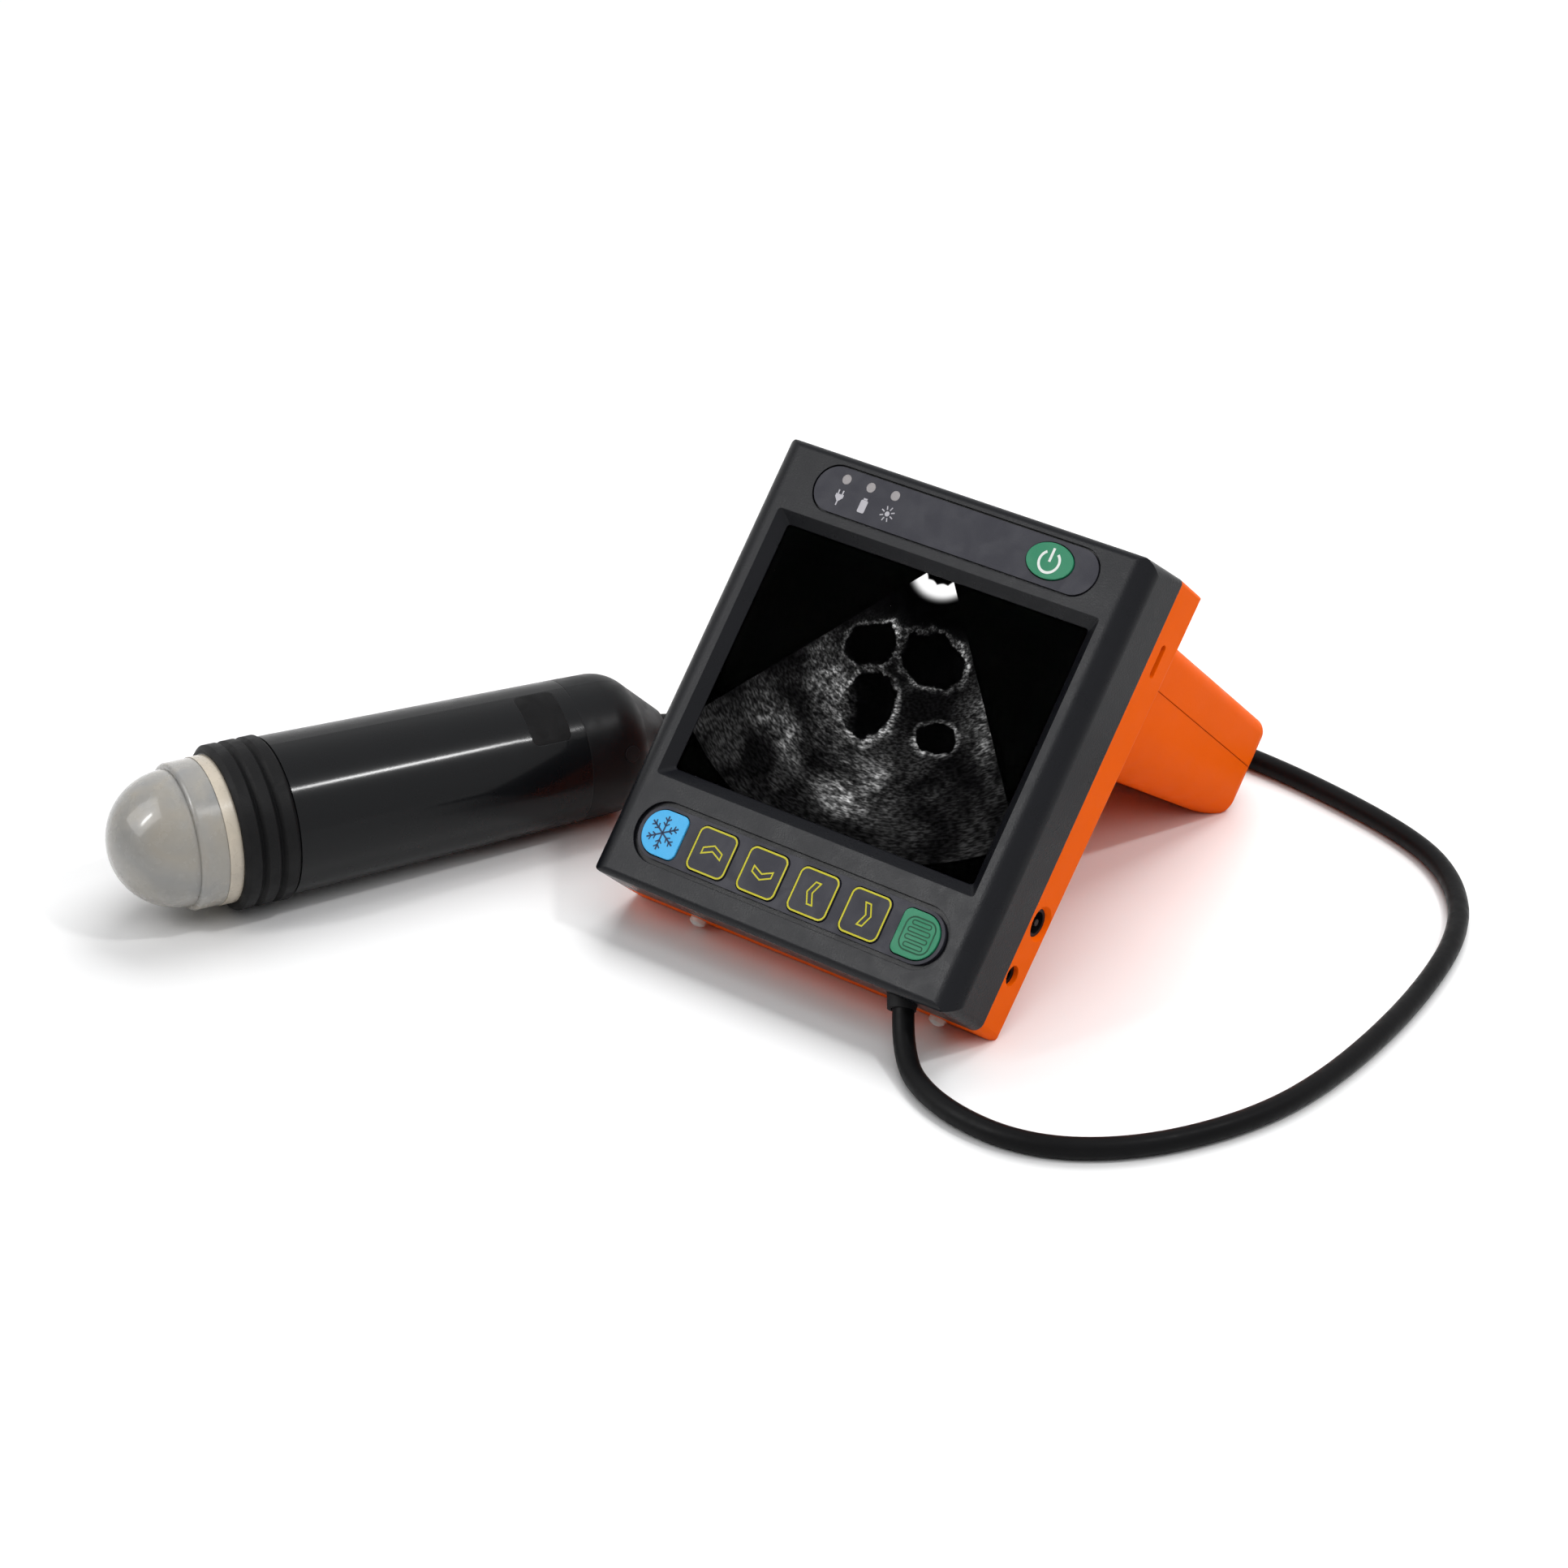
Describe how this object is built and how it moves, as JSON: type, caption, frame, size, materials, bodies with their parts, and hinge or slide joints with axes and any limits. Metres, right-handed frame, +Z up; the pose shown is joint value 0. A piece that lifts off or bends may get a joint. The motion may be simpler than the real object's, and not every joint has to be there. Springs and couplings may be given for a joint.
{
  "type": "ultrasound scanner",
  "caption": "Handheld veterinary ultrasound scanner: leaning console with screen, keys and battery grip, and a mechanical sector probe on its cable.",
  "frame": {"origin": "middle of the bottom of the console and probe together, on the surface that they lie on", "axes": "+X to the console's right as its user sees it, +Y away from the user, +Z up"},
  "size_m": [0.3232, 0.2759, 0.1168],
  "materials": {
    "bezel_plastic": "satin",
    "orange_plastic": "satin",
    "overlay_film": "satin",
    "key_blue": "satin",
    "key_dark": "satin",
    "key_green": "satin",
    "display": "gloss",
    "clear_window": "gloss",
    "led_lens": "gloss",
    "circuit_board": "satin",
    "steel": "brushed",
    "brass": "satin",
    "black_plastic": "satin",
    "gloss_black": "gloss",
    "black_rubber": "matte",
    "pale_plastic": "satin",
    "dome_plastic": "gloss",
    "cream_plastic": "satin",
    "battery_wrap": "satin",
    "ceramic_disc": "matte",
    "cable_jacket": "satin"
  },
  "bodies": {
    "scanner": {"front_bezel": "bezel_plastic", "rear_shell": "orange_plastic", "battery_pack": "battery_wrap", "battery_contacts": "brass", "screen_window": "clear_window", "lcd_module": "display", "lcd_bracket": "steel", "bracket_screws": "steel", "keypad_overlay": "overlay_film", "indicator_overlay": "overlay_film", "key_switches": "black_plastic", "keypad_board": "circuit_board", "indicator_board": "circuit_board", "status_leds": "led_lens", "main_board": "circuit_board", "dc_jack": "black_plastic", "av_jack": "black_plastic", "usb_port": "black_plastic", "case_screws": "steel", "bottom_feet": "pale_plastic", "cable_boot": "black_rubber", "probe_connector": "pale_plastic", "acoustic_dome": "dome_plastic", "dome_seal": "black_rubber", "dome_ring": "cream_plastic", "probe_collar": "black_rubber", "probe_housing": "gloss_black", "label_plate": "black_plastic", "probe_tail_cap": "gloss_black", "fill_plug": "black_plastic", "tail_boot": "black_rubber", "rocker_pin": "steel", "drive_motor": "steel", "motor_screws": "steel", "probe_frame": "steel", "probe_board": "circuit_board", "probe_cable": "cable_jacket"},
    "battery_cover": {"battery_cover": "orange_plastic"},
    "rocker": {"transducer_rocker": "pale_plastic", "transducer_crystal": "ceramic_disc", "rocker_gear": "brass"},
    "motor_rotor": {"motor_shaft": "steel", "motor_pinion": "brass"},
    "freeze_key": {"freeze_key": "key_blue"},
    "up_key": {"up_key": "key_dark"},
    "down_key": {"down_key": "key_dark"},
    "left_key": {"left_key": "key_dark"},
    "right_key": {"right_key": "key_dark"},
    "menu_key": {"menu_key": "key_green"},
    "power_key": {"power_key": "key_green"}
  },
  "joints": [
    {"name": "battery_cover_lift", "type": "slide", "parent": "scanner", "child": "battery_cover", "axis": [0, 0.6957, 0.7183], "range_m": [0, 0.02]},
    {"name": "rocker_swing", "type": "hinge", "parent": "scanner", "child": "rocker", "pos_m": [-0.09964, -0.11318, 0.02442], "axis": [-0.9058, 0.4237, 0], "range_deg": [-40, 40]},
    {"name": "motor_spin", "type": "hinge", "parent": "scanner", "child": "motor_rotor", "pos_m": [-0.09202, -0.09689, 0.02389], "axis": [-0.9058, 0.4237, 0], "range_deg": [-121, 121]},
    {"name": "freeze_key_press", "type": "slide", "parent": "scanner", "child": "freeze_key", "axis": [0, 0.7337, -0.6794], "range_m": [0, 0.0005], "stiffness_N_per_m": 500},
    {"name": "up_key_press", "type": "slide", "parent": "scanner", "child": "up_key", "axis": [0, 0.7337, -0.6794], "range_m": [0, 0.0005], "stiffness_N_per_m": 500},
    {"name": "down_key_press", "type": "slide", "parent": "scanner", "child": "down_key", "axis": [0, 0.7337, -0.6794], "range_m": [0, 0.0005], "stiffness_N_per_m": 500},
    {"name": "left_key_press", "type": "slide", "parent": "scanner", "child": "left_key", "axis": [0, 0.7337, -0.6794], "range_m": [0, 0.0005], "stiffness_N_per_m": 500},
    {"name": "right_key_press", "type": "slide", "parent": "scanner", "child": "right_key", "axis": [0, 0.7337, -0.6794], "range_m": [0, 0.0005], "stiffness_N_per_m": 500},
    {"name": "menu_key_press", "type": "slide", "parent": "scanner", "child": "menu_key", "axis": [0, 0.7337, -0.6794], "range_m": [0, 0.0005], "stiffness_N_per_m": 500},
    {"name": "power_key_press", "type": "slide", "parent": "scanner", "child": "power_key", "axis": [0, 0.7337, -0.6794], "range_m": [0, 0.0005], "stiffness_N_per_m": 500}
  ],
  "couplings": [
    {"joint": "motor_spin", "follows": "rocker_swing", "ratio": -3}
  ]
}
